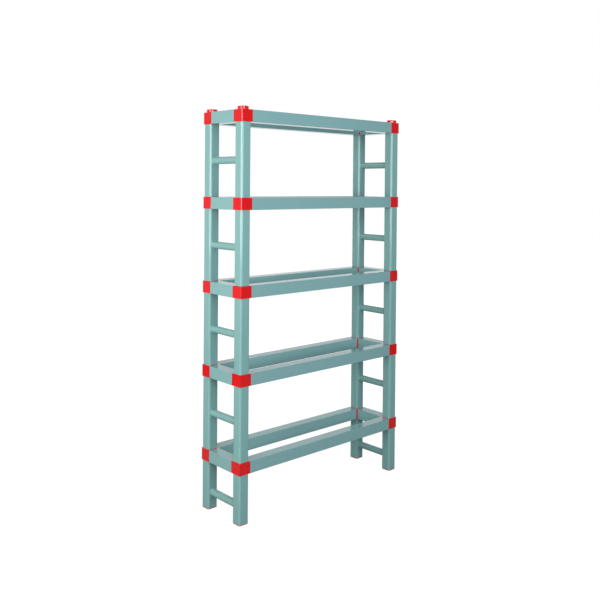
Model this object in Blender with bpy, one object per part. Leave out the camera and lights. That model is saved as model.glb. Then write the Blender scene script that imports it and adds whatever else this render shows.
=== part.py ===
"""Five-level ball rack of push-fitted plastic tubes.

Every level is a rectangle of four box rails held by four moulded corner connectors.
Side frames, each two square uprights with a round rung, stand between the levels on the
connectors' plugs. The balls lie in the slot between the front and the rear rails.
"""

from math import radians

import bmesh
import bpy
from mathutils import Matrix, Vector

# Driving dimensions in metres. X runs along the rack, Y from front to rear, Z up from the floor.
RACK_LENGTH = 1.000
RACK_DEPTH = 0.276
RACK_HEIGHT = 1.750  # floor to the top of the highest rails; the bare plugs stand above it
LEVEL_COUNT = 5
LOWEST_LEVEL = 0.2115  # floor to the underside of the lowest rails

UPRIGHT_SIDE = 0.050
UPRIGHT_CORNER_RADIUS = 0.0093
UPRIGHT_WALL = 0.003
RUNG_DIAMETER = 0.032
RUNG_WALL = 0.003
LOWEST_RUNG = 0.0725  # floor to the axis of the rung between the legs

RAIL_HEIGHT = 0.0525
RAIL_WALL = 0.0025
RAIL_EDGE_RADIUS = 0.0012

OUTER_SHOULDER = 0.0018  # step from an upright's outer face out to the connector's
INNER_SHOULDER = 0.0057  # the same step on the sides that carry the rails
RAIL_SETBACK = 0.0045  # the connector's inner corner stands past the rail by this much
CONNECTOR_CORNER_RADIUS = 0.003
CONNECTOR_EDGE = 0.0008
PLUG_CHAMFER = 0.010
PLUG_LEAD_IN = 0.003
PLUG_WALL = 0.003
WEB_THICKNESS = 0.0025
UPPER_PLUG_HEIGHT = 0.0138
LOWER_PLUG_HEIGHT = 0.030
CORE_DEPTH = 0.010  # how far each cored pocket goes on into the block
ARM_LENGTH = 0.040

FOOT_FLANGE = 0.003
FOOT_PLUG_HEIGHT = 0.015

FIT_GAP = 0.0003  # clearance between a piece and what it seats on or in

# Sizes that follow from the ones above
LEVEL_PITCH = (RACK_HEIGHT - RAIL_HEIGHT - LOWEST_LEVEL) / (LEVEL_COUNT - 1)
CONNECTOR_SIDE = UPRIGHT_SIDE + OUTER_SHOULDER + INNER_SHOULDER
RAIL_WIDTH = CONNECTOR_SIDE - RAIL_SETBACK
UPRIGHT_PLUG_SIDE = UPRIGHT_SIDE - 2 * (UPRIGHT_WALL + FIT_GAP)
OUTER_FACE = -(UPRIGHT_SIDE / 2 + OUTER_SHOULDER)  # connector faces, from the upright's axis
INNER_FACE = UPRIGHT_SIDE / 2 + INNER_SHOULDER
UPRIGHT_X = RACK_LENGTH / 2 + OUTER_FACE
UPRIGHT_Y = RACK_DEPTH / 2 + OUTER_FACE

FRAME_COLOUR = (0.23, 0.42, 0.42)
FRAME_ROUGHNESS = 0.35
CONNECTOR_COLOUR = (0.76, 0.02, 0.02)
CONNECTOR_ROUGHNESS = 0.30

# Facets of the round stretches
CORNER_SEGMENTS = 3
RUNG_SIDES = 16
SMOOTH_ANGLE = radians(35)

FLATNESS = 1e-6  # two heights or directions this close count as one

# Corners in order around the rack: name, side of X, side of Y, turn about the upright's axis
CORNERS = (
    ("front_left", -1, -1, 0),
    ("front_right", 1, -1, 90),
    ("rear_right", 1, 1, 180),
    ("rear_left", -1, 1, 270),
)


def clear_scene():
    for old in list(bpy.data.objects):
        bpy.data.objects.remove(old, do_unlink=True)


def new_collection(name):
    collection = bpy.data.collections.new(name)
    bpy.context.scene.collection.children.link(collection)
    return collection


def plastic(name, colour, roughness):
    material = bpy.data.materials.new(name)
    material.use_nodes = True
    shader = material.node_tree.nodes["Principled BSDF"]
    shader.inputs["Base Color"].default_value = (*colour, 1.0)
    shader.inputs["Roughness"].default_value = roughness
    shader.inputs["Metallic"].default_value = 0.0
    material.diffuse_color = (*colour, 1.0)
    return material


def parallel_edges(bm, direction):
    def runs_along(edge):
        run = (edge.verts[1].co - edge.verts[0].co).normalized()
        return abs(run.dot(direction)) > 1 - FLATNESS

    return [e for e in bm.edges if runs_along(e)]


def place(name, bm, collection):
    mesh = bpy.data.meshes.new(name)
    bm.to_mesh(mesh)
    bm.free()
    piece = bpy.data.objects.new(name, mesh)
    collection.objects.link(piece)
    return piece


def box_between(low, high):
    bm = bmesh.new()
    bmesh.ops.create_cube(bm, size=1.0)
    bmesh.ops.scale(bm, vec=Vector(high) - Vector(low), verts=bm.verts)
    bmesh.ops.translate(bm, vec=(Vector(high) + Vector(low)) / 2, verts=bm.verts)
    return bm


def round_edges(bm, edges, radius, segments):
    bmesh.ops.bevel(
        bm, geom=edges, offset=radius, offset_type="OFFSET", segments=segments, profile=0.5, affect="EDGES"
    )


def rounded_square_bar(side, radius, segments, bottom, top):
    """An upright bar on the Z axis; one segment makes plain chamfers."""
    bm = box_between((-side / 2, -side / 2, bottom), (side / 2, side / 2, top))
    round_edges(bm, parallel_edges(bm, Vector((0, 0, 1))), radius, segments)
    return bm


def chamfer_end(bm, axis, position, width):
    """Breaks every edge round the flat end that faces along the axis at the position."""
    edges = [e for e in bm.edges if all(abs(v.co[axis] - position) < FLATNESS for v in e.verts)]
    round_edges(bm, edges, width, 1)


def boolean(piece, operation, tool):
    modifier = piece.modifiers.new(operation.lower(), "BOOLEAN")
    modifier.operation = operation
    modifier.solver = "EXACT"
    modifier.object = tool


def finished_mesh(piece, name):
    """The mesh that the modifiers make, kept for every copy of the piece."""
    bpy.context.view_layer.update()
    evaluated = piece.evaluated_get(bpy.context.evaluated_depsgraph_get())
    mesh = bpy.data.meshes.new_from_object(evaluated)
    mesh.name = name
    mesh.shade_smooth()
    mesh.set_sharp_from_angle(angle=SMOOTH_ANGLE)
    bpy.data.objects.remove(piece, do_unlink=True)
    return mesh


def add_copy(name, mesh, material, collection, location, turn=0):
    piece = bpy.data.objects.new(name, mesh)
    piece.location = location
    piece.rotation_euler = (0, 0, radians(turn))
    if not mesh.materials:
        mesh.materials.append(material)
    collection.objects.link(piece)
    return piece


def plug_bar(side, chamfer, bottom, top):
    return rounded_square_bar(side, chamfer, 1, bottom, top)


def plug_pocket(bottom, top):
    """The cored space in an upright plug, with the plug's wall left all round it."""
    side = UPRIGHT_PLUG_SIDE - 2 * PLUG_WALL
    chamfer = PLUG_CHAMFER - PLUG_WALL * (2 - 2**0.5)
    return plug_bar(side, chamfer, bottom, top)


def connector_mesh(tools):
    """The moulded connector of the front left corner, on its upright's axis, underside at Z = 0."""
    block = box_between((OUTER_FACE, OUTER_FACE, 0), (INNER_FACE, INNER_FACE, RAIL_HEIGHT))
    outer_edge = [
        e
        for e in parallel_edges(block, Vector((0, 0, 1)))
        if all(v.co.x < 0 and v.co.y < 0 for v in e.verts)
    ]
    round_edges(block, outer_edge, CONNECTOR_CORNER_RADIUS, CORNER_SEGMENTS)
    chamfer_end(block, 2, RAIL_HEIGHT, CONNECTOR_EDGE)
    chamfer_end(block, 2, 0, CONNECTOR_EDGE)
    piece = place("connector", block, tools)

    plug_top = RAIL_HEIGHT + UPPER_PLUG_HEIGHT
    plugs = plug_bar(UPRIGHT_PLUG_SIDE, PLUG_CHAMFER, -LOWER_PLUG_HEIGHT, plug_top)
    chamfer_end(plugs, 2, plug_top, PLUG_LEAD_IN)
    chamfer_end(plugs, 2, -LOWER_PLUG_HEIGHT, PLUG_LEAD_IN)
    boolean(piece, "UNION", place("upright_plugs", plugs, tools))

    wall_to_arm = RAIL_WALL + FIT_GAP
    arm_tip = INNER_FACE + ARM_LENGTH
    arm_low = OUTER_FACE + wall_to_arm
    arm_high = OUTER_FACE + RAIL_WIDTH - wall_to_arm
    arm = box_between((0, arm_low, wall_to_arm), (arm_tip, arm_high, RAIL_HEIGHT - wall_to_arm))
    chamfer_end(arm, 0, arm_tip, PLUG_LEAD_IN)
    arm_x = place("arm_x", arm, tools)
    arm_y = bpy.data.objects.new("arm_y", arm_x.data.copy())
    arm_y.data.transform(Matrix(((0, 1, 0, 0), (1, 0, 0, 0), (0, 0, 1, 0), (0, 0, 0, 1))))
    arm_y.data.flip_normals()
    tools.objects.link(arm_y)
    boolean(piece, "UNION", arm_x)
    boolean(piece, "UNION", arm_y)

    # The upper pocket keeps a cross of two webs, the lower one is open
    upper_pocket = place("upper_pocket", plug_pocket(RAIL_HEIGHT - CORE_DEPTH, plug_top + FIT_GAP), tools)
    reach = UPRIGHT_PLUG_SIDE
    for name, half_x, half_y in (("web_x", reach, WEB_THICKNESS / 2), ("web_y", WEB_THICKNESS / 2, reach)):
        web = box_between((-half_x, -half_y, 0), (half_x, half_y, plug_top + CORE_DEPTH))
        boolean(upper_pocket, "DIFFERENCE", place(name, web, tools))
    boolean(piece, "DIFFERENCE", upper_pocket)
    lower_pocket = plug_pocket(-LOWER_PLUG_HEIGHT - FIT_GAP, CORE_DEPTH)
    boolean(piece, "DIFFERENCE", place("lower_pocket", lower_pocket, tools))

    # Each arm is cored from its tip
    low = arm_low + PLUG_WALL
    high = arm_high - PLUG_WALL
    start = INNER_FACE - PLUG_WALL / 2
    end = arm_tip + FIT_GAP
    floor = wall_to_arm + PLUG_WALL
    along_x = box_between((start, low, floor), (end, high, RAIL_HEIGHT - floor))
    along_y = box_between((low, start, floor), (high, end, RAIL_HEIGHT - floor))
    boolean(piece, "DIFFERENCE", place("arm_x_pocket", along_x, tools))
    boolean(piece, "DIFFERENCE", place("arm_y_pocket", along_y, tools))
    return finished_mesh(piece, "connector")


def rail_mesh(name, length, tools):
    """A box-section rail along X, centred on its own middle, underside at Z = 0."""
    half = length / 2
    bar = box_between((-half, -RAIL_WIDTH / 2, 0), (half, RAIL_WIDTH / 2, RAIL_HEIGHT))
    round_edges(bar, parallel_edges(bar, Vector((1, 0, 0))), RAIL_EDGE_RADIUS, 1)
    piece = place(name, bar, tools)
    bore_half = RAIL_WIDTH / 2 - RAIL_WALL
    bore = box_between(
        (-half - RAIL_WALL, -bore_half, RAIL_WALL), (half + RAIL_WALL, bore_half, RAIL_HEIGHT - RAIL_WALL)
    )
    boolean(piece, "DIFFERENCE", place(f"{name}_bore", bore, tools))
    return finished_mesh(piece, name)


def rung_bar(diameter, height):
    """A bar from one upright's axis to the other's."""
    bm = bmesh.new()
    turn = Matrix.Rotation(radians(90), 4, "X")
    bmesh.ops.create_cone(
        bm,
        cap_ends=True,
        segments=RUNG_SIDES,
        radius1=diameter / 2,
        radius2=diameter / 2,
        depth=2 * UPRIGHT_Y,
        matrix=Matrix.Translation((0, 0, height)) @ turn,
    )
    return bm


def side_frame_mesh(name, bottom, top, rung, tools):
    """Two uprights and their rung in the YZ plane, hollow throughout."""
    bore_side = UPRIGHT_SIDE - 2 * UPRIGHT_WALL
    bore_radius = UPRIGHT_CORNER_RADIUS - UPRIGHT_WALL
    uprights = []
    bores = []
    for end, y in (("front", -UPRIGHT_Y), ("rear", UPRIGHT_Y)):
        bar = rounded_square_bar(UPRIGHT_SIDE, UPRIGHT_CORNER_RADIUS, CORNER_SEGMENTS, bottom, top)
        bmesh.ops.translate(bar, vec=(0, y, 0), verts=bar.verts)
        uprights.append(place(f"{name}_{end}", bar, tools))
        bore = rounded_square_bar(
            bore_side, bore_radius, CORNER_SEGMENTS - 1, bottom - UPRIGHT_WALL, top + UPRIGHT_WALL
        )
        bmesh.ops.translate(bore, vec=(0, y, 0), verts=bore.verts)
        bores.append(place(f"{name}_{end}_bore", bore, tools))
    piece, other = uprights
    boolean(piece, "UNION", place(f"{name}_rung", rung_bar(RUNG_DIAMETER, rung), tools))
    boolean(piece, "UNION", other)
    for bore in bores:
        boolean(piece, "DIFFERENCE", bore)
    rung_bore = rung_bar(RUNG_DIAMETER - 2 * RUNG_WALL, rung)
    boolean(piece, "DIFFERENCE", place(f"{name}_rung_bore", rung_bore, tools))
    return finished_mesh(piece, name)


def foot_cap_mesh(tools):
    """A thin flange as wide as the leg, with a cupped plug that goes up the leg's bore."""
    flange = rounded_square_bar(UPRIGHT_SIDE, UPRIGHT_CORNER_RADIUS, CORNER_SEGMENTS, 0, FOOT_FLANGE)
    piece = place("foot_cap", flange, tools)
    plug_top = FOOT_FLANGE + FOOT_PLUG_HEIGHT
    plug = plug_bar(UPRIGHT_PLUG_SIDE, PLUG_CHAMFER, FOOT_FLANGE / 2, plug_top)
    chamfer_end(plug, 2, plug_top, PLUG_LEAD_IN)
    boolean(piece, "UNION", place("foot_plug", plug, tools))
    boolean(piece, "DIFFERENCE", place("foot_pocket", plug_pocket(FOOT_FLANGE, plug_top + FIT_GAP), tools))
    return finished_mesh(piece, "foot_cap")


def level_height(level):
    return LOWEST_LEVEL + level * LEVEL_PITCH


def add_levels(rack, tools, frame_plastic, connector_plastic):
    connector = connector_mesh(tools)
    long_rail = rail_mesh("long_rail", RACK_LENGTH - 2 * (CONNECTOR_SIDE + FIT_GAP), tools)
    short_rail = rail_mesh("short_rail", RACK_DEPTH - 2 * (CONNECTOR_SIDE + FIT_GAP), tools)
    rail_x = (RACK_LENGTH - RAIL_WIDTH) / 2
    rail_y = (RACK_DEPTH - RAIL_WIDTH) / 2
    for level in range(LEVEL_COUNT):
        z = level_height(level)
        number = level + 1
        for corner, side_x, side_y, turn in CORNERS:
            place_at = (side_x * UPRIGHT_X, side_y * UPRIGHT_Y, z)
            add_copy(f"connector_{number}_{corner}", connector, connector_plastic, rack, place_at, turn)
        add_copy(f"rail_{number}_front", long_rail, frame_plastic, rack, (0, -rail_y, z))
        add_copy(f"rail_{number}_rear", long_rail, frame_plastic, rack, (0, rail_y, z), 180)
        add_copy(f"rail_{number}_left", short_rail, frame_plastic, rack, (-rail_x, 0, z), 90)
        add_copy(f"rail_{number}_right", short_rail, frame_plastic, rack, (rail_x, 0, z), 270)


def add_side_frames(rack, tools, frame_plastic):
    bay_height = LEVEL_PITCH - RAIL_HEIGHT - 2 * FIT_GAP
    bay_frame = side_frame_mesh("bay_frame", 0, bay_height, bay_height / 2, tools)
    leg_bottom = FOOT_FLANGE + FIT_GAP
    leg_frame = side_frame_mesh("leg_frame", leg_bottom, LOWEST_LEVEL - FIT_GAP, LOWEST_RUNG, tools)
    for side, x in (("left", -UPRIGHT_X), ("right", UPRIGHT_X)):
        add_copy(f"side_frame_legs_{side}", leg_frame, frame_plastic, rack, (x, 0, 0))
        for bay in range(LEVEL_COUNT - 1):
            bottom = level_height(bay) + RAIL_HEIGHT + FIT_GAP
            add_copy(f"side_frame_{bay + 1}_{side}", bay_frame, frame_plastic, rack, (x, 0, bottom))


def add_feet(rack, tools, connector_plastic):
    cap = foot_cap_mesh(tools)
    for corner, side_x, side_y, turn in CORNERS:
        place_at = (side_x * UPRIGHT_X, side_y * UPRIGHT_Y, 0)
        add_copy(f"foot_cap_{corner}", cap, connector_plastic, rack, place_at, turn)


def main():
    clear_scene()
    rack = new_collection("ball_rack")
    tools = new_collection("ball_rack_cutters")
    frame_plastic = plastic("grey_green_plastic", FRAME_COLOUR, FRAME_ROUGHNESS)
    connector_plastic = plastic("red_plastic", CONNECTOR_COLOUR, CONNECTOR_ROUGHNESS)
    add_levels(rack, tools, frame_plastic, connector_plastic)
    add_side_frames(rack, tools, frame_plastic)
    add_feet(rack, tools, connector_plastic)
    for tool in tools.objects:
        tool.display_type = "WIRE"
        tool.hide_render = True


main()
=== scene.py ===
"""Five-level ball rack of push-fitted plastic tubes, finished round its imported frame.

Box rails and moulded corner connectors make each level. Side frames of two uprights and a
rung stand between the levels, and foot caps close the legs. Lengths are in metres.
"""

from math import atan2, cos, pi, radians, sin, sqrt

import bmesh
import bpy
from bpy.props import FloatProperty, FloatVectorProperty, PointerProperty
from mathutils import Matrix, Vector


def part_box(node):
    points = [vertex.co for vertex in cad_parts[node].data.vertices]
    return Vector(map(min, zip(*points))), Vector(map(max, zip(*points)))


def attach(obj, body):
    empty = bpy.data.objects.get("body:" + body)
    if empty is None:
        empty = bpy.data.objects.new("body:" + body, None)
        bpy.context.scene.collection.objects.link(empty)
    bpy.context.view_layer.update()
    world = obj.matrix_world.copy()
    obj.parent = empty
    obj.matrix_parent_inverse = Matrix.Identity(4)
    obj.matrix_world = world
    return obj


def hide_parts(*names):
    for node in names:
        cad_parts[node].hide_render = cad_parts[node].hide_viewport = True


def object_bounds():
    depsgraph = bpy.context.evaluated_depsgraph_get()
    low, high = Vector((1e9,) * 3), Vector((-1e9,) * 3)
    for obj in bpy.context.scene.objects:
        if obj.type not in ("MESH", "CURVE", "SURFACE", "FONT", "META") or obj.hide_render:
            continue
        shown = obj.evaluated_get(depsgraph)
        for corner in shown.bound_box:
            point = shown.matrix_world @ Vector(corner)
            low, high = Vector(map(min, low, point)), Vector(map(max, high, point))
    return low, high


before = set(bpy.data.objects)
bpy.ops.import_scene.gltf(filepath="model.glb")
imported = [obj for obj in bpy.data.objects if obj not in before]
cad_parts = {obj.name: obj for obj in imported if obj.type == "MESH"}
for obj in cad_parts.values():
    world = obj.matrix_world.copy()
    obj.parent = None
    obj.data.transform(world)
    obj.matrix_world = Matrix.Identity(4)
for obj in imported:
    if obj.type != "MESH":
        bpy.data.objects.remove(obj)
CAD_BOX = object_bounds()

bl_info = {
    "name": "Ball Rack",
    "version": (1, 0, 0),
    "blender": (4, 5, 0),
    "location": "3D View > Sidebar > Ball Rack",
    "description": "Models a rack of push-fitted plastic tubes and the studio that it stands in",
    "category": "Add Mesh",
}

# Corners in order around the rack, with the quarter turns that bring the front left one there
CORNERS = ("front_left", "front_right", "rear_right", "rear_left")
X, Y, Z = Vector((1, 0, 0)), Vector((0, 1, 0)), Vector((0, 0, 1))
SAME = 1e-5  # two places or directions this close count as one

# Facets of the round stretches
CORNER_STEPS = 10
EDGE_STEPS = 3
RUNG_SIDES = 64
FLARE_STEPS = 5
FINE_STEPS = 2  # on the small roundings that only catch a glint
SMOOTH_ANGLE = radians(32)


def srgb(hexa):
    """The three numbers of an sRGB colour written in hex."""
    return tuple(int(hexa[k : k + 2], 16) / 255 for k in (0, 2, 4))


def levels():
    """The numbers of the rack's levels, from the floor up."""
    return range(1, 1 + sum(name.startswith("rail_") and name.endswith("_front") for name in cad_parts))


def bays():
    """The side frames' bays, from the floor up: the legs, then one above each level but the top one."""
    return ["legs", *levels()[:-1]]


def centre_of(node):
    low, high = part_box(node)
    return (low + high) / 2


class BallRackSizes(bpy.types.PropertyGroup):
    """Sizes of the mouldings and tubes that the frame's boxes don't give"""

    upright_corner: FloatProperty(
        name="Upright corner", description="Radius of an upright's four corners", default=0.0093,
        unit="LENGTH",
    )
    upright_wall: FloatProperty(
        name="Upright wall", description="Wall of the uprights and the rung", default=0.003, unit="LENGTH"
    )
    rung_diameter: FloatProperty(
        name="Rung diameter", description="Outside diameter of a rung", default=0.032, unit="LENGTH"
    )
    rung_flare: FloatProperty(
        name="Rung flare", description="Fillet where a rung runs into its uprights", default=0.0014,
        unit="LENGTH",
    )
    rail_wall: FloatProperty(
        name="Rail wall", description="Wall of the box rails", default=0.0025, unit="LENGTH"
    )
    rail_edge: FloatProperty(
        name="Rail edge", description="Radius of a rail's long edges", default=0.0012, unit="LENGTH"
    )
    connector_side: FloatProperty(
        name="Connector side", description="Width of a connector's square block", default=0.0575,
        unit="LENGTH",
    )
    connector_corner: FloatProperty(
        name="Connector corner", description="Radius of a block's outer upright edge", default=0.003,
        unit="LENGTH",
    )
    connector_edge: FloatProperty(
        name="Connector edge", description="Radius of a block's other edges", default=0.0008, unit="LENGTH"
    )
    outer_shoulder: FloatProperty(
        name="Outer shoulder", description="Step from an upright's face out to the block's", default=0.0018,
        unit="LENGTH",
    )
    plug_side: FloatProperty(
        name="Plug side", description="Width of the plugs in the uprights' bores", default=0.0434,
        unit="LENGTH",
    )
    plug_chamfer: FloatProperty(
        name="Plug chamfer", description="Width cut off each corner of a plug", default=0.010, unit="LENGTH"
    )
    plug_corner: FloatProperty(
        name="Plug corner", description="Radius of a plug's upright edges", default=0.0038, unit="LENGTH"
    )
    plug_end: FloatProperty(
        name="Plug end", description="Radius round a plug's end", default=0.0024, unit="LENGTH"
    )
    plug_lead_in: FloatProperty(
        name="Plug lead-in", description="Rounding of the end of an arm", default=0.003, unit="LENGTH"
    )
    plug_wall: FloatProperty(
        name="Plug wall", description="Wall of the cored plugs and arms", default=0.003, unit="LENGTH"
    )
    web: FloatProperty(
        name="Web", description="Thickness of the crossed webs in an upper plug", default=0.0025,
        unit="LENGTH",
    )
    core_depth: FloatProperty(
        name="Core depth", description="How far a plug's pocket goes on into the block", default=0.010,
        unit="LENGTH",
    )
    foot_flange: FloatProperty(
        name="Foot flange", description="Thickness of a foot cap under its leg", default=0.003, unit="LENGTH"
    )
    fit_gap: FloatProperty(
        name="Fit gap", description="Clearance between pushed-together pieces", default=0.0003, unit="LENGTH"
    )


class BallRackFinish(bpy.types.PropertyGroup):
    """Colours and gloss of the two plastics"""

    rail_colour: FloatVectorProperty(
        name="Rail colour", description="Grey-green of the box rails, as sRGB",
        default=srgb("7da8ab"), size=3, min=0, max=1, subtype="COLOR_GAMMA",
    )
    frame_colour: FloatVectorProperty(
        name="Frame colour", description="Grey-green of the uprights and rungs, as sRGB",
        default=srgb("7ba8a8"), size=3, min=0, max=1, subtype="COLOR_GAMMA",
    )
    connector_colour: FloatVectorProperty(
        name="Connector colour", description="Red of the connectors and foot caps, as sRGB",
        default=srgb("d30a12"), size=3, min=0, max=1, subtype="COLOR_GAMMA",
    )


class BallRackStudio(bpy.types.PropertyGroup):
    """Strengths of the studio's lights"""

    ambient: FloatProperty(name="Ambient", description="Strength of the even room light", default=0.08, min=0)
    key: FloatProperty(
        name="Key", description="Power of the large softbox on the left", default=58, min=0, unit="POWER"
    )
    fill: FloatProperty(
        name="Fill", description="Power of the wide softbox in front", default=122, min=0, unit="POWER"
    )
    top: FloatProperty(
        name="Top", description="Power of the softbox overhead", default=6, min=0, unit="POWER"
    )
    bounce: FloatProperty(
        name="Bounce", description="Power that the room's walls throw back, most of it from behind",
        default=95, min=0, unit="POWER",
    )


def deselect():
    if bpy.context.mode != "OBJECT":
        bpy.ops.object.mode_set(mode="OBJECT")
    bpy.ops.object.select_all(action="DESELECT")


def activate(piece):
    deselect()
    piece.select_set(True)
    bpy.context.view_layer.objects.active = piece


def added(name):
    """Names the primitive that an operator has just added and puts its place in its mesh."""
    piece = bpy.context.object
    piece.name = piece.data.name = name
    bpy.ops.object.transform_apply(location=True, rotation=True, scale=True)
    return piece


def add_block(name, low, high):
    deselect()
    low, high = Vector(low), Vector(high)
    bpy.ops.mesh.primitive_cube_add(size=1, location=(low + high) / 2, scale=high - low)
    return added(name)


def pick(piece, kind, test):
    """In edit mode, selects the piece's edges or faces that pass the test, and nothing else."""
    if piece.mode != "EDIT":
        activate(piece)
        bpy.ops.object.mode_set(mode="EDIT")
    bpy.ops.mesh.select_mode(type=kind)
    bpy.ops.mesh.select_all(action="DESELECT")
    bm = bmesh.from_edit_mesh(piece.data)
    for part in bm.edges if kind == "EDGE" else bm.faces:
        if test(part):
            part.select_set(True)
    bmesh.update_edit_mesh(piece.data)


def runs_along(axis):
    """A test for edges parallel to the axis."""
    return lambda edge: abs((edge.verts[1].co - edge.verts[0].co).normalized().dot(axis)) > 1 - SAME


def lies_at(axis, *places):
    """A test for edges and faces all of whose corners are at one of the places along the axis."""
    return lambda part: any(all(abs(v.co.dot(axis) - place) < SAME for v in part.verts) for place in places)


def rounded(radius, steps):
    """Bevels what is selected to the radius."""
    bpy.ops.mesh.bevel(offset=radius, offset_type="OFFSET", segments=steps, profile=0.5, affect="EDGES")


def carve(piece, operation, tool):
    """Joins the tool to the piece or cuts it out, for good, and removes the tool."""
    activate(piece)
    modifier = piece.modifiers.new(operation.lower(), "BOOLEAN")
    modifier.operation = operation
    modifier.solver = "EXACT"
    modifier.object = tool
    bpy.ops.object.modifier_apply(modifier=modifier.name)
    bpy.data.objects.remove(tool, do_unlink=True)


def smooth(piece):
    """Merges doubles and shades the round stretches smooth, with the flat faces kept flat."""
    pick(piece, "FACE", lambda face: True)
    bpy.ops.mesh.remove_doubles(threshold=SAME / 10)
    activate(piece)
    bpy.ops.object.shade_smooth_by_angle(angle=SMOOTH_ANGLE)
    modifier = piece.modifiers.new("flat_faces", "WEIGHTED_NORMAL")
    modifier.keep_sharp = True
    bpy.ops.object.modifier_apply(modifier=modifier.name)
    return piece


def place_copy(master, name, node, matrix, material):
    """A copy of the master with its own mesh, turned and set in place there, that stands for the node."""
    piece = bpy.data.objects.new(name, master.data.copy())
    piece.data.name = name
    piece.data.transform(matrix)
    piece.data.materials.clear()
    piece.data.materials.append(material)
    bpy.context.scene.collection.objects.link(piece)
    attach(piece, "root")
    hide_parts(node)
    return piece


def linear(colour):
    """An sRGB colour, in hex or as three numbers, turned to linear RGBA."""
    if isinstance(colour, str):
        colour = srgb(colour)
    return (*(c / 12.92 if c <= 0.04045 else ((c + 0.055) / 1.055) ** 2.4 for c in colour), 1)


def add_node(tree, kind, settings=(), inputs=()):
    """Adds a node. An input is a value, or the output socket that feeds it."""
    node = tree.nodes.new(kind)
    for name, value in dict(settings).items():
        setattr(node, name, value)
    for name, value in dict(inputs).items():
        if isinstance(value, bpy.types.NodeSocket):
            tree.links.new(value, node.inputs[name])
        else:
            node.inputs[name].default_value = value
    return node


def new_material(name):
    material = bpy.data.materials.new(name)
    material.use_nodes = True
    material.node_tree.nodes.clear()
    return material, material.node_tree


# Real sizes of the surface patterns, in millimetres
DIE_LINE_SPACING = 2.0  # real ones are some tenths of a millimetre apart, too fine to show
DIE_LINE_LENGTH = 900.0
SHADE_PATCH = 140.0  # patches of slightly lighter and darker pigment
HANDLING_PATCH = 35.0  # where hands and cloths have dulled or polished the plastic
PEEL_SIZE = 5.0  # orange peel of a thick-walled moulding
GRAIN_SIZE = 0.9  # etched grain of the connector mould, drawn coarser than its real 0.2

PATTERN_LOW, PATTERN_HIGH = 0.3, 0.7  # between these lie nearly all values of a noise pattern
CLEAR_SKIN = 0.6  # how much of the connectors' skin is resin that flowed ahead of the pigment
CLEAR_SKIN_ROUGHNESS = 0.05


def per_metre(millimetres):
    """The texture scale whose features are about this size."""
    return 1000 / millimetres


def scaled(colour, factor):
    return tuple(c * factor for c in colour[:3]) + (1,)


def uneven_skin(tree, place):
    """Two patterns: broad patches of pigment, and smaller ones where the skin has been handled."""
    return [
        add_node(
            tree,
            "ShaderNodeTexNoise",
            inputs={"Vector": place, "Scale": per_metre(size), "Detail": detail},
        ).outputs["Fac"]
        for size, detail in ((SHADE_PATCH, 3.0), (HANDLING_PATCH, 4.0))
    ]


def finish_plastic(
    tree, colour, ior, pigment, variation, wear, roughness, relief, strength, depth, clear_skin=0.0
):
    """Puts a plastic together from its patterns. The pigment shifts the colour by the variation, up or
    down. The wear moves the roughness between its two values. The relief is pressed into the skin
    by its strength and its depth in metres."""
    shade = add_node(
        tree,
        "ShaderNodeMix",
        {"data_type": "RGBA"},
        {"Factor": pigment, "A": scaled(colour, 1 - variation), "B": scaled(colour, 1 + variation)},
    )
    sheen = add_node(
        tree,
        "ShaderNodeMapRange",
        inputs={
            "Value": wear,
            "From Min": PATTERN_LOW,
            "From Max": PATTERN_HIGH,
            "To Min": roughness[0],
            "To Max": roughness[1],
        },
    )
    skin = add_node(
        tree, "ShaderNodeBump", inputs={"Height": relief, "Strength": strength, "Distance": depth}
    )
    shader = add_node(
        tree,
        "ShaderNodeBsdfPrincipled",
        inputs={
            "Base Color": shade.outputs["Result"],
            "Roughness": sheen.outputs["Result"],
            "Normal": skin.outputs["Normal"],
            "IOR": ior,
            "Coat Weight": clear_skin,
            "Coat Roughness": CLEAR_SKIN_ROUGHNESS,
            "Metallic": 0.0,
        },
    )
    add_node(tree, "ShaderNodeOutputMaterial", inputs={"Surface": shader.outputs["BSDF"]})


def tube_plastic(name, along, colour):
    """Rigid PVC extruded through a die and cooled in a vacuum sizer, pigmented grey-green.
    The die leaves faint lines along the tube, on a satin skin with a soft, broad highlight."""
    material, tree = new_material(name)
    place = add_node(tree, "ShaderNodeTexCoord").outputs["Object"]
    stretch = [per_metre(DIE_LINE_LENGTH) if axis == along else per_metre(DIE_LINE_SPACING) for axis in "XYZ"]
    drawn = add_node(tree, "ShaderNodeMapping", inputs={"Vector": place, "Scale": stretch}).outputs["Vector"]
    lines = add_node(
        tree, "ShaderNodeTexNoise", inputs={"Vector": drawn, "Scale": 1.0, "Detail": 2.0, "Roughness": 0.6}
    ).outputs["Fac"]
    patches, handled = uneven_skin(tree, place)
    finish_plastic(
        tree,
        colour,
        ior=1.52,
        pigment=patches,
        variation=0.02,
        wear=handled,
        roughness=(0.10, 0.15),
        relief=lines,
        strength=0.12,
        depth=0.0002,
    )
    return material


def frame_plastic(name, colour):
    """Polypropylene moulded thick over a core, pigmented grey-green. The hot skin shrinks to a faint
    orange peel with a livelier gloss than the extruded rails have."""
    material, tree = new_material(name)
    place = add_node(tree, "ShaderNodeTexCoord").outputs["Object"]
    peel = add_node(
        tree, "ShaderNodeTexNoise", inputs={"Vector": place, "Scale": per_metre(PEEL_SIZE), "Detail": 2.0}
    ).outputs["Fac"]
    patches, handled = uneven_skin(tree, place)
    finish_plastic(
        tree,
        colour,
        ior=1.50,
        pigment=patches,
        variation=0.02,
        wear=handled,
        roughness=(0.10, 0.14),
        relief=peel,
        strength=0.05,
        depth=0.0002,
    )
    return material


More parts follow.
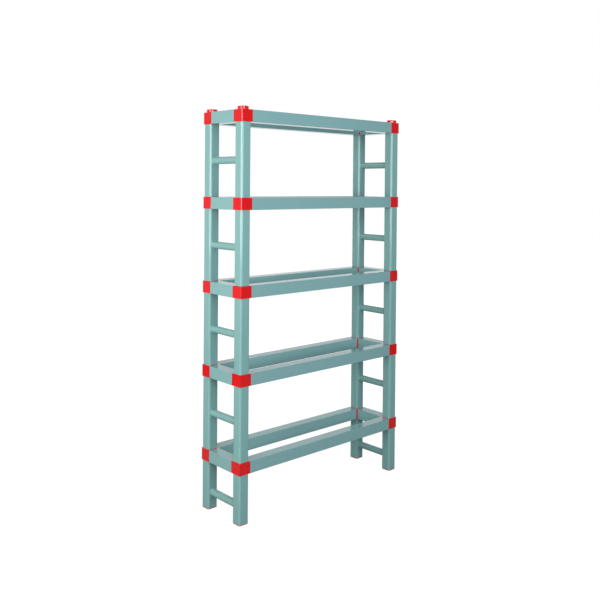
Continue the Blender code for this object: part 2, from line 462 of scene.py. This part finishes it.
def connector_plastic(name, colour):
    """Polypropylene injection moulded in a fine-grained steel mould, pigmented signal red. A thin
    clear skin glints along the edges, and the pigment streaks faintly where the melt flowed."""
    material, tree = new_material(name)
    place = add_node(tree, "ShaderNodeTexCoord").outputs["Object"]
    grain = add_node(
        tree, "ShaderNodeTexNoise", inputs={"Vector": place, "Scale": per_metre(GRAIN_SIZE), "Detail": 2.0}
    ).outputs["Fac"]
    flow = add_node(
        tree,
        "ShaderNodeTexNoise",
        inputs={"Vector": place, "Scale": per_metre(HANDLING_PATCH), "Detail": 3.0, "Distortion": 1.5},
    ).outputs["Fac"]
    finish_plastic(
        tree,
        colour,
        ior=1.50,
        pigment=flow,
        variation=0.015,
        wear=flow,
        roughness=(0.07, 0.10),
        relief=grain,
        strength=0.05,
        depth=0.0001,
        clear_skin=CLEAR_SKIN,
    )
    return material


def open_box_tube(name, length, width, height, wall, edge, gap):
    """A box-section tube along X on its own middle, underside at Z = 0, open from end to end."""
    half = length / 2
    tube = add_block(name, (-half, -width / 2, 0), (half, width / 2, height))
    ends = lies_at(X, -half, half)
    pick(tube, "FACE", ends)
    bpy.ops.mesh.inset(thickness=wall, use_individual=True)
    bpy.ops.mesh.bridge_edge_loops()
    for face, radius, steps in ((width / 2, edge, EDGE_STEPS + 1), (width / 2 - wall, edge / 2, FINE_STEPS)):
        pick(
            tube,
            "EDGE",
            lambda e: runs_along(X)(e) and any(abs(abs(v.co.y) - face) < SAME for v in e.verts),
        )
        rounded(radius, steps)
    pick(tube, "EDGE", lambda e: ends(e) and len({round(f.normal.x) for f in e.link_faces}) == 2)
    rounded(gap, FINE_STEPS)
    return smooth(tube)


class BALLRACK_OT_rails(bpy.types.Operator):
    """Model the long and short box rails of every level"""

    bl_idname = "ballrack.rails"
    bl_label = "Box Rails"

    def execute(self, context):
        sizes, finish = context.scene.ballrack_sizes, context.scene.ballrack_finish
        colour = linear(finish.rail_colour)
        for kind, along, sides in (("long", "X", ("front", "rear")), ("short", "Y", ("left", "right"))):
            low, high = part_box(f"rail_1_{sides[0]}")
            size = high - low
            length, width = (size.x, size.y) if along == "X" else (size.y, size.x)
            master = open_box_tube(
                f"{kind}_rail", length, width, size.z, sizes.rail_wall, sizes.rail_edge, sizes.fit_gap
            )
            material = tube_plastic(f"extruded_pvc_along_{along.lower()}", along, colour)
            for level in levels():
                for number, side in enumerate(sides):
                    node = f"rail_{level}_{side}"
                    low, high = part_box(node)
                    turn = radians(180 * number if along == "X" else 90 + 180 * number)
                    at = Matrix.Translation(((low.x + high.x) / 2, (low.y + high.y) / 2, low.z))
                    place_copy(
                        master,
                        f"box_rail_{level}_{side}",
                        node,
                        at @ Matrix.Rotation(turn, 4, "Z"),
                        material,
                    )
            bpy.data.objects.remove(master, do_unlink=True)
        return {"FINISHED"}


def rounded_bar(name, side, radius, steps, bottom, top, y=0.0):
    """A square bar upright on the Z axis, with its four corners rounded; one step makes chamfers."""
    bar = add_block(name, (-side / 2, y - side / 2, bottom), (side / 2, y + side / 2, top))
    pick(bar, "EDGE", runs_along(Z))
    rounded(radius, steps)
    return bar


def rung_bar(name, diameter, length, height, flare):
    """A round bar along Y whose ends flare into the uprights' walls."""
    deselect()
    bpy.ops.mesh.primitive_cylinder_add(
        vertices=RUNG_SIDES,
        radius=diameter / 2,
        depth=length - 2 * flare,
        location=(0, 0, height),
        rotation=(pi / 2, 0, 0),
    )
    bar = added(name)
    half = length / 2 - flare
    pick(bar, "FACE", lies_at(Y, -half, half))
    radius, reach = diameter / 2, 0.0
    for step in range(1, FLARE_STEPS + 1):
        turn = step / FLARE_STEPS * pi / 2
        wider = diameter / 2 + flare * (1 - cos(turn))
        bpy.ops.mesh.extrude_faces_move(TRANSFORM_OT_shrink_fatten={"value": flare * sin(turn) - reach})
        scale = wider / radius
        bpy.ops.transform.resize(value=(scale, 1, scale), center_override=(0, 0, height))
        radius, reach = wider, flare * sin(turn)
    return bar


def side_frame(name, side, spread, bottom, top, rung, sizes):
    """Two hollow uprights on the YZ plane, spread apart, and the hollow rung between them."""
    wall, corner = sizes.upright_wall, sizes.upright_corner
    end_rounding = 1.5 * sizes.fit_gap
    bars, bores = [], []
    for y in (-spread / 2, spread / 2):
        bar = rounded_bar(f"{name}_upright", side, corner, CORNER_STEPS, bottom, top, y)
        pick(bar, "EDGE", lies_at(Z, bottom, top))
        rounded(end_rounding, FINE_STEPS)
        bars.append(bar)
        bores.append(
            rounded_bar(
                f"{name}_bore", side - 2 * wall, corner - wall, CORNER_STEPS, bottom - wall, top + wall, y
            )
        )
    clear = spread - side
    sink = sizes.fit_gap / 5  # the flares end just inside the uprights' faces, for a clean union
    piece = bars[0]
    flared = rung_bar(f"{name}_rung", sizes.rung_diameter, clear + 2 * sink, rung, sizes.rung_flare)
    pick(flared, "FACE", lies_at(Y, -clear / 2 - sink, clear / 2 + sink))
    bpy.ops.mesh.extrude_faces_move(TRANSFORM_OT_shrink_fatten={"value": wall / 2})
    carve(piece, "UNION", flared)
    carve(piece, "UNION", bars[1])
    for bore in bores:
        carve(piece, "DIFFERENCE", bore)
    deselect()
    bpy.ops.mesh.primitive_cylinder_add(
        vertices=RUNG_SIDES,
        radius=sizes.rung_diameter / 2 - wall,
        depth=clear + 3 * wall,
        location=(0, 0, rung),
        rotation=(pi / 2, 0, 0),
    )
    carve(piece, "DIFFERENCE", added(f"{name}_rung_bore"))
    return smooth(piece)


class BALLRACK_OT_side_frames(bpy.types.Operator):
    """Model the side frames, each two uprights and a rung"""

    bl_idname = "ballrack.side_frames"
    bl_label = "Side Frames"

    leg_rung: FloatProperty(
        name="Leg rung", description="Height of the rung between the legs", default=0.0725, unit="LENGTH"
    )

    def execute(self, context):
        sizes, finish = context.scene.ballrack_sizes, context.scene.ballrack_finish
        material = frame_plastic("moulded_polypropylene_grey_green", linear(finish.frame_colour))
        for bay in bays():
            low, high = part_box(f"side_frame_{bay}_left")
            size = high - low
            if bay in ("legs", 1):
                rung = self.leg_rung - low.z if bay == "legs" else size.z / 2
                master = side_frame(f"frame_{bay}", size.x, size.y - size.x, 0, size.z, rung, sizes)
            for side in ("left", "right"):
                node = f"side_frame_{bay}_{side}"
                low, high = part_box(node)
                at = Matrix.Translation(((low.x + high.x) / 2, 0, low.z))
                place_copy(master, f"rung_frame_{bay}_{side}", node, at, material)
            if bay in ("legs", bays()[-1]):
                bpy.data.objects.remove(master, do_unlink=True)
        return {"FINISHED"}


def plug_bar(name, sizes, bottom, top, ends):
    """A square plug with chamfered corners, softened edges and rounded ends where it leads in."""
    bar = rounded_bar(name, sizes.plug_side, sizes.plug_chamfer, 1, bottom, top)
    pick(bar, "EDGE", runs_along(Z))
    rounded(sizes.plug_corner, EDGE_STEPS + 2)
    pick(bar, "EDGE", lies_at(Z, *ends))
    rounded(sizes.plug_end, EDGE_STEPS + 1)
    return bar


def plug_pocket(name, sizes, bottom, top):
    """The cored space in a plug, which leaves the plug's wall all round it."""
    side = sizes.plug_side - 2 * sizes.plug_wall
    chamfer = sizes.plug_chamfer - sizes.plug_wall * (2 - sqrt(2))
    pocket = rounded_bar(name, side, chamfer, 1, bottom, top)
    pick(pocket, "EDGE", runs_along(Z))
    rounded(sizes.plug_corner / 2, EDGE_STEPS)
    return pocket


def corner_connector(sizes, height, upper, lower, arm):
    """The front left connector on its upright's axis, with its block's underside at Z = 0."""
    side = sizes.connector_side
    wall, web, gap = sizes.plug_wall, sizes.web, sizes.fit_gap
    outer = -(upright_side() / 2 + sizes.outer_shoulder)
    inner = outer + side
    piece = add_block("connector", (outer, outer, 0), (inner, inner, height))
    pick(piece, "EDGE", lambda e: runs_along(Z)(e) and all(v.co.x < 0 and v.co.y < 0 for v in e.verts))
    rounded(sizes.connector_corner, CORNER_STEPS // 2)
    pick(piece, "EDGE", lies_at(Z, 0, height))
    rounded(sizes.connector_edge, EDGE_STEPS)

    plug_top = height + upper
    carve(piece, "UNION", plug_bar("plugs", sizes, -lower, plug_top, (-lower, plug_top)))

    rail_low, rail_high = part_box("rail_1_front")
    clearance = sizes.rail_wall + gap
    low = outer + clearance
    high = outer + (rail_high.y - rail_low.y) - clearance
    tip = inner + arm
    for axis, near, far in (
        (X, (0, low, clearance), (tip, high, height - clearance)),
        (Y, (low, 0, clearance), (high, tip, height - clearance)),
    ):
        branch = add_block("arm", near, far)
        pick(branch, "EDGE", lies_at(axis, tip))
        rounded(sizes.plug_lead_in, EDGE_STEPS)
        carve(piece, "UNION", branch)

    pocket = plug_pocket("upper_pocket", sizes, height - sizes.core_depth, plug_top + gap)
    reach = sizes.plug_side
    for half_x, half_y in ((reach, web / 2), (web / 2, reach)):
        cross = add_block("web", (-half_x, -half_y, 0), (half_x, half_y, plug_top + sizes.core_depth))
        carve(pocket, "DIFFERENCE", cross)
    carve(piece, "DIFFERENCE", pocket)
    carve(piece, "DIFFERENCE", plug_pocket("lower_pocket", sizes, -lower - gap, sizes.core_depth))

    floor = clearance + wall
    start, end = inner - wall / 2, tip + gap
    for corners in (
        ((start, low + wall, floor), (end, high - wall, height - floor)),
        ((low + wall, start, floor), (high - wall, end, height - floor)),
    ):
        core = add_block("arm_core", *corners)
        pick(core, "EDGE", lambda e: True)
        rounded(sizes.connector_edge, FINE_STEPS)
        carve(piece, "DIFFERENCE", core)
    return smooth(piece)


def upright_side():
    """The width of an upright, from the box of a side frame."""
    low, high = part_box("side_frame_legs_left")
    return high.x - low.x


def upright_axis(corner):
    """The X and Y of the upright at a corner, which is that of the foot cap under it."""
    return centre_of(f"foot_cap_{corner}").xy


class BALLRACK_OT_connectors(bpy.types.Operator):
    """Model the moulded corner connectors of every level"""

    bl_idname = "ballrack.connectors"
    bl_label = "Corner Connectors"

    def execute(self, context):
        sizes, finish = context.scene.ballrack_sizes, context.scene.ballrack_finish
        material = connector_plastic("moulded_polypropylene_red", linear(finish.connector_colour))
        low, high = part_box("connector_1_front_left")
        rail_low, rail_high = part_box("rail_1_front")
        master = corner_connector(
            sizes,
            rail_high.z - rail_low.z,
            high.z - rail_high.z,
            rail_low.z - low.z,
            high.x - low.x - sizes.connector_side,
        )
        for level in levels():
            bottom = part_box(f"rail_{level}_front")[0].z
            for number, corner in enumerate(CORNERS):
                at = Matrix.Translation((*upright_axis(corner), bottom))
                place_copy(
                    master,
                    f"corner_connector_{level}_{corner}",
                    f"connector_{level}_{corner}",
                    at @ Matrix.Rotation(radians(90 * number), 4, "Z"),
                    material,
                )
        bpy.data.objects.remove(master, do_unlink=True)
        return {"FINISHED"}


class BALLRACK_OT_foot_caps(bpy.types.Operator):
    """Model the cap under each leg"""

    bl_idname = "ballrack.foot_caps"
    bl_label = "Foot Caps"

    def execute(self, context):
        sizes, finish = context.scene.ballrack_sizes, context.scene.ballrack_finish
        material = connector_plastic("moulded_polypropylene_foot", linear(finish.connector_colour))
        low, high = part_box("foot_cap_front_left")
        side, top, flange = high.x - low.x, high.z, sizes.foot_flange
        master = rounded_bar("foot", side, sizes.upright_corner, CORNER_STEPS, 0, flange)
        pick(master, "EDGE", lies_at(Z, 0, flange))
        rounded(sizes.connector_edge / 2, EDGE_STEPS)
        carve(master, "UNION", plug_bar("foot_plug", sizes, flange / 2, top, (top,)))
        carve(master, "DIFFERENCE", plug_pocket("foot_pocket", sizes, flange, top + sizes.fit_gap))
        smooth(master)
        for number, corner in enumerate(CORNERS):
            at = Matrix.Translation((*upright_axis(corner), 0))
            place_copy(
                master,
                f"leg_cap_{corner}",
                f"foot_cap_{corner}",
                at @ Matrix.Rotation(radians(90 * number), 4, "Z"),
                material,
            )
        bpy.data.objects.remove(master, do_unlink=True)
        return {"FINISHED"}


# The photograph's camera, solved from the rack's edges
CAMERA_AT = (-2.4359, -2.6324, 1.4281)
CAMERA_HEADING = radians(42.237)  # from +Y towards +X
CAMERA_TILT = radians(0.664)  # below the horizon
CAMERA_ROLL = radians(0.459)
CAMERA_LENS = 45.387  # millimetres, as is the next
CAMERA_SENSOR = 36
CAMERA_SHIFT = -0.175  # frames the picture lower than the camera looks, so uprights stay upright


def add_camera():
    deselect()
    bpy.ops.object.camera_add()
    camera = bpy.context.object
    camera.name = "photograph_camera"
    camera.matrix_world = (
        Matrix.Translation(CAMERA_AT)
        @ Matrix.Rotation(-CAMERA_HEADING, 4, "Z")
        @ Matrix.Rotation(pi / 2 - CAMERA_TILT, 4, "X")
        @ Matrix.Rotation(CAMERA_ROLL, 4, "Z")
    )
    camera.data.sensor_width = CAMERA_SENSOR
    camera.data.lens = CAMERA_LENS
    camera.data.shift_y = CAMERA_SHIFT
    bpy.context.scene.camera = camera


def add_softbox(name, at, towards, width, height, power, colour):
    deselect()
    bpy.ops.object.light_add(type="AREA", location=at)
    lamp = bpy.context.object
    lamp.name = name
    lamp.rotation_euler = (Vector(towards) - Vector(at)).to_track_quat("-Z", "Y").to_euler()
    lamp.data.shape = "RECTANGLE"
    lamp.data.size = width
    lamp.data.size_y = height
    lamp.data.energy = power
    lamp.data.color = linear(colour)[:3]
    lamp.visible_camera = False
    return lamp


FLAG_HEIGHT = 3.0
FLAG_THICKNESS = 0.02
FLAG_LIFT = 0.01  # off the floor


def add_flag(name, x, y, width, shade):
    """A panel, turned to the rack, that glows a fixed grey and shows only where the plastic mirrors it: a
    painted reflection of a darker room on that side. The faces on its side would mirror the white room there
    and lose their deep colour."""
    deselect()
    bpy.ops.mesh.primitive_cube_add(
        size=1,
        location=(x, y, FLAG_HEIGHT / 2 + FLAG_LIFT),
        rotation=(0, 0, atan2(-x, y)),
        scale=(width, FLAG_THICKNESS, FLAG_HEIGHT),
    )
    flag = added(name)
    material, tree = new_material(f"glowing_reflection_panel_{name}")
    # Painted reflection: the panel glows this fixed grey whatever light falls on it, and only the plastic's
    # mirror rays see it
    reflected_glow = add_node(tree, "ShaderNodeEmission", inputs={"Color": linear(shade)})
    add_node(tree, "ShaderNodeOutputMaterial", inputs={"Surface": reflected_glow.outputs["Emission"]})
    flag.data.materials.append(material)
    flag.visible_camera = flag.visible_diffuse = flag.visible_shadow = False


def seen_directly(tree):
    """1 for rays from the camera, or by way of a mirror or glass, and 0 for light that falls on things."""
    path = add_node(tree, "ShaderNodeLightPath")
    glossy = add_node(
        tree,
        "ShaderNodeMath",
        {"operation": "MAXIMUM"},
        {0: path.outputs["Is Camera Ray"], 1: path.outputs["Is Glossy Ray"]},
    )
    return add_node(
        tree,
        "ShaderNodeMath",
        {"operation": "MAXIMUM"},
        {0: glossy.outputs[0], 1: path.outputs["Is Transmission Ray"]},
    ).outputs[0]


def add_room_light(strength):
    """A white room that shows pure white and lights at the given strength."""
    world = bpy.data.worlds.new("white_room")
    bpy.context.scene.world = world
    world.use_nodes = True
    tree = world.node_tree
    tree.nodes.clear()
    level = add_node(
        tree,
        "ShaderNodeMapRange",
        inputs={"Value": seen_directly(tree), "To Min": strength, "To Max": 1.0},
    )
    light = add_node(
        tree,
        "ShaderNodeBackground",
        inputs={"Color": linear("ffffff"), "Strength": level.outputs["Result"]},
    )
    add_node(tree, "ShaderNodeOutputWorld", inputs={"Surface": light.outputs["Background"]})


FLOOR_RADIUS = 6.0
FLOOR_SIDES = 96
FLOOR_FADE_START = 0.9  # from the middle of the rack, where the floor begins to fade into the room
FLOOR_FADE_END = 2.2
SHOWN_PAINT = 0.15  # share of the lit paint in what the camera sees near the rack
FLOOR_GLOW = 1.08  # a little over white, so that the share of lit paint doesn't grey it


def floor_paint():
    """White painted studio floor, matt. The camera sees it white by its own light, and near the rack
    some of the lit paint too, with a faint shadow. The rack mirrors, and is lit by, a greyer floor."""
    material, tree = new_material("matt_white_floor_paint")
    place = add_node(tree, "ShaderNodeTexCoord").outputs["Object"]
    distance = add_node(tree, "ShaderNodeVectorMath", {"operation": "LENGTH"}, {0: place}).outputs["Value"]
    path = add_node(tree, "ShaderNodeLightPath")
    near = add_node(
        tree,
        "ShaderNodeMapRange",
        {"interpolation_type": "SMOOTHSTEP"},
        {
            "Value": distance,
            "From Min": FLOOR_FADE_START,
            "From Max": FLOOR_FADE_END,
            "To Min": SHOWN_PAINT,
            "To Max": 0.0,
        },
    ).outputs["Result"]
    paint = add_node(tree, "ShaderNodeBsdfDiffuse", inputs={"Color": linear("f4f4f2")})
    glow = add_node(tree, "ShaderNodeEmission", inputs={"Color": linear("ffffff"), "Strength": FLOOR_GLOW})
    shown = add_node(
        tree,
        "ShaderNodeMixShader",
        inputs={"Fac": near, 1: glow.outputs["Emission"], 2: paint.outputs["BSDF"]},
    )
    grey = add_node(tree, "ShaderNodeBsdfDiffuse", inputs={"Color": linear("868684")})
    surface = add_node(
        tree,
        "ShaderNodeMixShader",
        inputs={"Fac": path.outputs["Is Camera Ray"], 1: grey.outputs["BSDF"], 2: shown.outputs["Shader"]},
    )
    add_node(tree, "ShaderNodeOutputMaterial", inputs={"Surface": surface.outputs["Shader"]})
    return material


# Where walls throw light back, and the share of the bounce power that comes from each
BOUNCES = (
    ("left_bounce", -2.8, -0.1, 0.3, 0.12),
    ("right_bounce", 3.0, 0.6, 0.9, 0.44),
    ("rear_bounce", 0.4, 3.0, 0.9, 0.44),
)
BOUNCE_WIDTH, BOUNCE_HEIGHT = 1.8, 1.0


class BALLRACK_OT_stage(bpy.types.Operator):
    """Set up the floor, the studio lights and the camera"""

    bl_idname = "ballrack.stage"
    bl_label = "Studio"

    def execute(self, context):
        studio = context.scene.ballrack_studio
        deselect()
        bpy.ops.mesh.primitive_circle_add(vertices=FLOOR_SIDES, radius=FLOOR_RADIUS, fill_type="NGON")
        floor = added("studio_floor")
        floor.data.materials.append(floor_paint())
        add_room_light(studio.ambient)
        middle = (CAD_BOX[0] + CAD_BOX[1]) / 2
        add_softbox("key_softbox", (-2.6, -0.1, 1.5), (-0.5, -0.1, 1.5), 2.1, 1.15, studio.key, "fffaf2")
        add_softbox("fill_softbox", (-0.95, -3.3, 1.95), (-0.1, 0.0, 1.95), 3.8, 2.2, studio.fill, "fdfdff")
        add_softbox("top_softbox", (0.0, -0.3, 3.6), middle, 2.4, 1.6, studio.top, "ffffff")
        for name, x, y, z, share in BOUNCES:
            bounce = add_softbox(
                name, (x, y, z), (0.0, 0.0, z), BOUNCE_WIDTH, BOUNCE_HEIGHT, studio.bounce * share, "ffffff"
            )
            bounce.visible_glossy = False
        # Glowing panels that only reflections see: painted reflections of a darker room to the front right
        # and rear left
        add_flag("dark_flag", 3.0, -3.4, 4.0, "707070")
        add_flag("grey_flag", -2.55, 2.65, 2.6, "969696")
        add_camera()
        context.scene.view_settings.view_transform = "Standard"
        return {"FINISHED"}


class BALLRACK_PT_panel(bpy.types.Panel):
    """Lists the rack's pieces and their settings"""

    bl_idname = "BALLRACK_PT_panel"
    bl_label = "Ball Rack"
    bl_space_type = "VIEW_3D"
    bl_region_type = "UI"
    bl_category = "Ball Rack"

    def draw(self, context):
        for operator in OPERATORS:
            self.layout.operator(operator.bl_idname)
        for title, group in (
            ("Sizes", context.scene.ballrack_sizes),
            ("Finish", context.scene.ballrack_finish),
            ("Studio", context.scene.ballrack_studio),
        ):
            box = self.layout.box()
            box.label(text=title)
            for name in group.bl_rna.properties.keys():
                if name not in ("rna_type", "name"):
                    box.prop(group, name)


OPERATORS = (
    BALLRACK_OT_rails,
    BALLRACK_OT_side_frames,
    BALLRACK_OT_connectors,
    BALLRACK_OT_foot_caps,
    BALLRACK_OT_stage,
)
GROUPS = {
    "ballrack_sizes": BallRackSizes,
    "ballrack_finish": BallRackFinish,
    "ballrack_studio": BallRackStudio,
}


def register():
    for cls in (*GROUPS.values(), *OPERATORS, BALLRACK_PT_panel):
        bpy.utils.register_class(cls)
    for name, group in GROUPS.items():
        setattr(bpy.types.Scene, name, PointerProperty(type=group))


def unregister():
    for name in GROUPS:
        delattr(bpy.types.Scene, name)
    for cls in (BALLRACK_PT_panel, *reversed(OPERATORS), *GROUPS.values()):
        bpy.utils.unregister_class(cls)


def main():
    register()
    bpy.ops.ballrack.rails()
    bpy.ops.ballrack.side_frames()
    bpy.ops.ballrack.connectors()
    bpy.ops.ballrack.foot_caps()
    bpy.ops.ballrack.stage()


if __name__ == "__main__":
    main()
